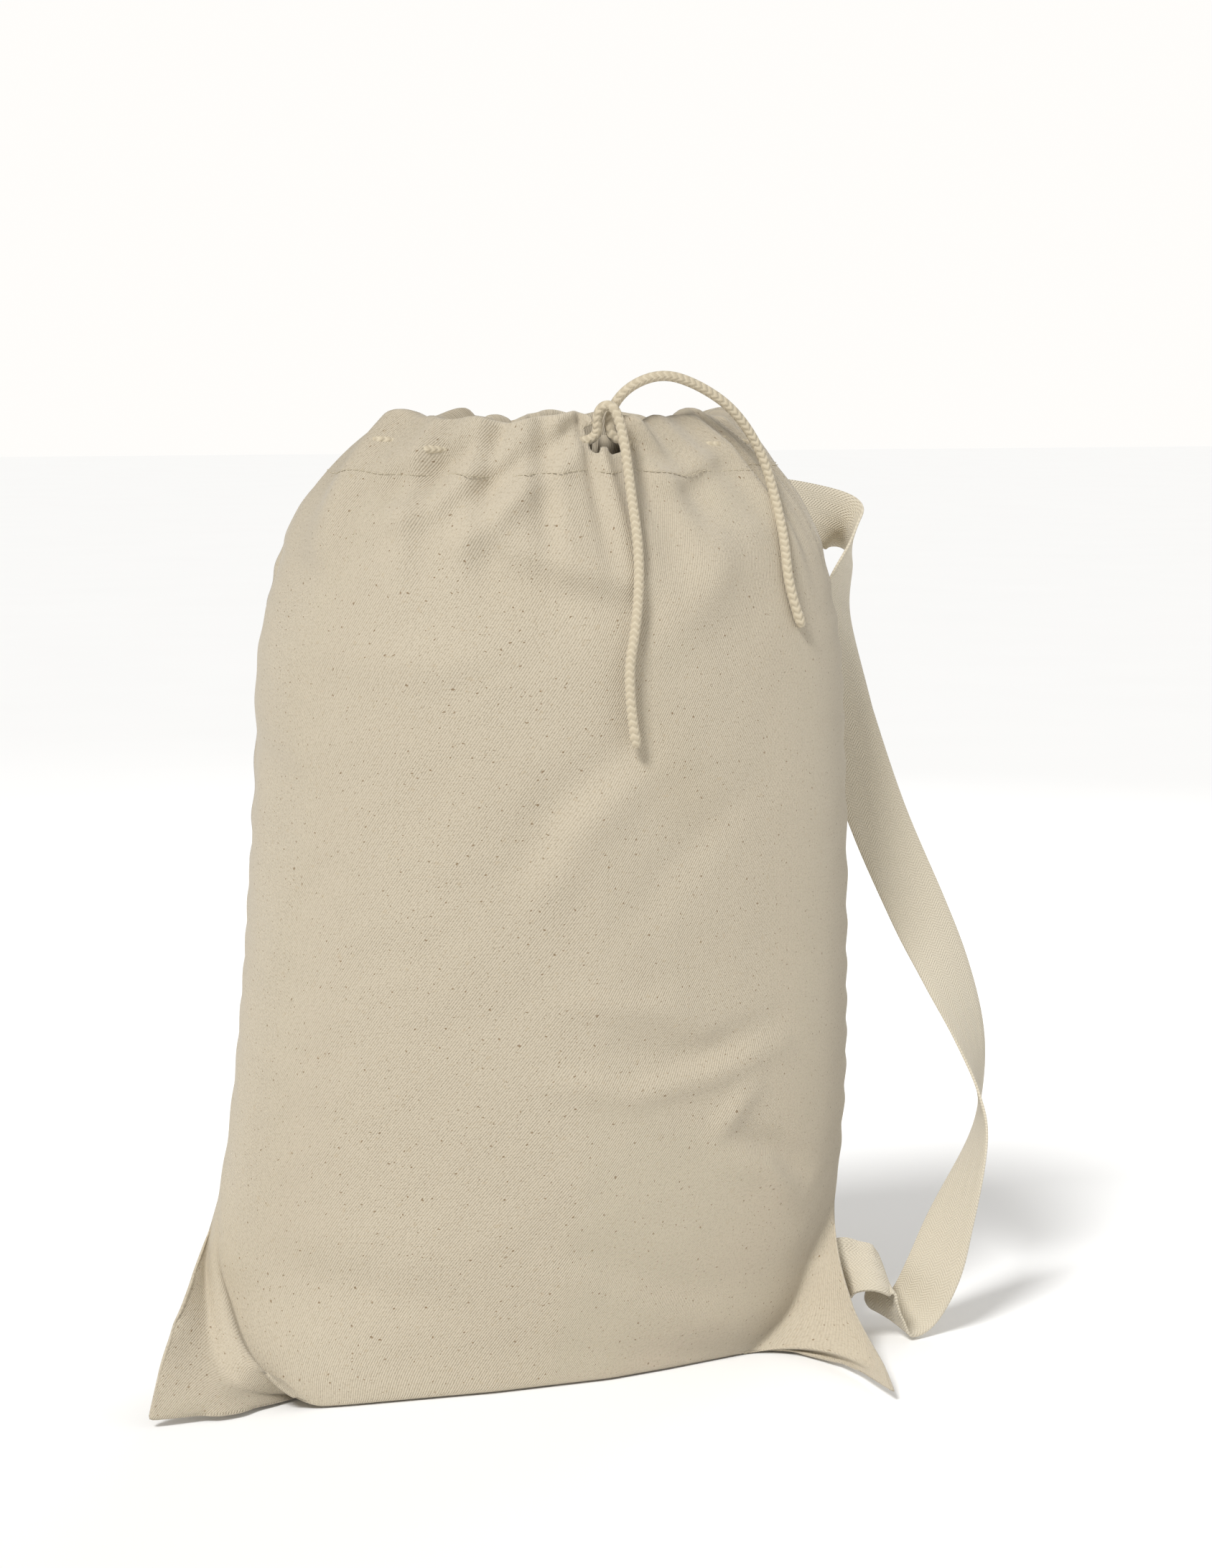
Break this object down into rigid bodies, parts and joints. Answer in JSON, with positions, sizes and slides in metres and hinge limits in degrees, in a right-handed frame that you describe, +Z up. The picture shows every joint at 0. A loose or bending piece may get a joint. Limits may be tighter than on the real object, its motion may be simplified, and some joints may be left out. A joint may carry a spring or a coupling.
{
  "type": "fruit picking bag",
  "caption": "Standing drawstring bag of plain cotton canvas with a gathered hem, a drawcord whose ends hang loose and a webbing shoulder strap.",
  "frame": {"origin": "centre of the flat patch that the bag stands on", "axes": "+Z up, +X to the side that carries the strap, -Y the front panel with the cord exit"},
  "size_m": [0.5862, 0.2694, 0.6256],
  "materials": {
    "canvas": "seed-flecked natural cotton twill",
    "webbing": "coarse cotton webbing",
    "cord": "braided cotton cord",
    "thread": "cotton thread"
  },
  "bodies": {
    "bag": {"front_panel": "canvas", "back_panel": "canvas", "front_hem": "canvas", "back_hem": "canvas", "hem_stitching": "thread", "exit_tacks": "thread", "bottom_seam": "canvas", "left_side_seam": "canvas", "right_side_seam": "canvas", "drawcord_run": "cord", "strap_upper_end": "webbing", "strap_lower_end": "webbing", "strap_upper_stitching": "thread", "strap_lower_stitching": "thread"},
    "strap": {"shoulder_strap": "webbing"},
    "left_tail": {"drawcord_left_tail": "cord"},
    "right_tail": {"drawcord_right_tail": "cord"}
  },
  "joints": [
    {"name": "strap_swing", "type": "hinge", "parent": "bag", "child": "strap", "pos_m": [0.214, -0.035, 0.046], "axis": [-0.1386, 0.1772, 0.9744], "range_deg": [0, 45], "stiffness_Nm_per_rad": 0.06, "springref_deg": -17.19},
    {"name": "left_tail_lift", "type": "hinge", "parent": "bag", "child": "left_tail", "pos_m": [0.035, -0.0345, 0.582], "axis": [-1, 0, 0], "range_deg": [0, 30]},
    {"name": "right_tail_lift", "type": "hinge", "parent": "bag", "child": "right_tail", "pos_m": [0.071, -0.0345, 0.582], "axis": [-1, 0, 0], "range_deg": [0, 30]}
  ],
  "couplings": [
    {"joint": "right_tail_lift", "follows": "left_tail_lift", "ratio": 1}
  ]
}
